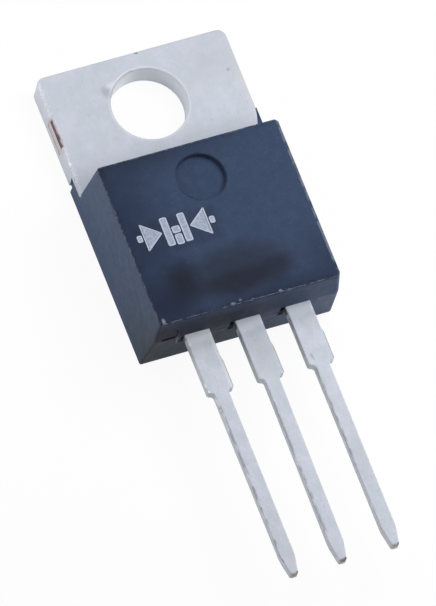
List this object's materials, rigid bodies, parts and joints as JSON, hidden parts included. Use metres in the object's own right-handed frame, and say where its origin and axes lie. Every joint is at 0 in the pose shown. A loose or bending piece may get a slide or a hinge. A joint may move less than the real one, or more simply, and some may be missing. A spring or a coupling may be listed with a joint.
{
  "type": "dual rectifier diode package",
  "caption": "Flat three-lead power package: a moulded body on a tinned copper heat tab with a mounting hole, and straight leads with tapered tips.",
  "frame": {"origin": "centre of the mounting hole, on the flat back of the heat tab", "axes": "+Z out of the moulding's front face, +Y towards the end of the heat tab, and the leads point to -Y"},
  "size_m": [0.0098, 0.0284, 0.0045],
  "materials": {
    "tinned_copper": "matte tin plate on copper",
    "epoxy": "fine matte moulded epoxy",
    "solder": "dull high-lead solder",
    "metallised_silicon": "silicon with an aluminium contact",
    "clip_copper": "bare copper strip"
  },
  "bodies": {
    "root": {"heat_tab": "tinned_copper", "left_lead": "tinned_copper", "right_lead": "tinned_copper", "left_die_solder": "solder", "right_die_solder": "solder", "left_die": "metallised_silicon", "right_die": "metallised_silicon", "left_clip_die_solder": "solder", "right_clip_die_solder": "solder", "left_clip_lead_solder": "solder", "right_clip_lead_solder": "solder", "left_clip": "clip_copper", "right_clip": "clip_copper", "moulded_body": "epoxy"}
  },
  "joints": []
}
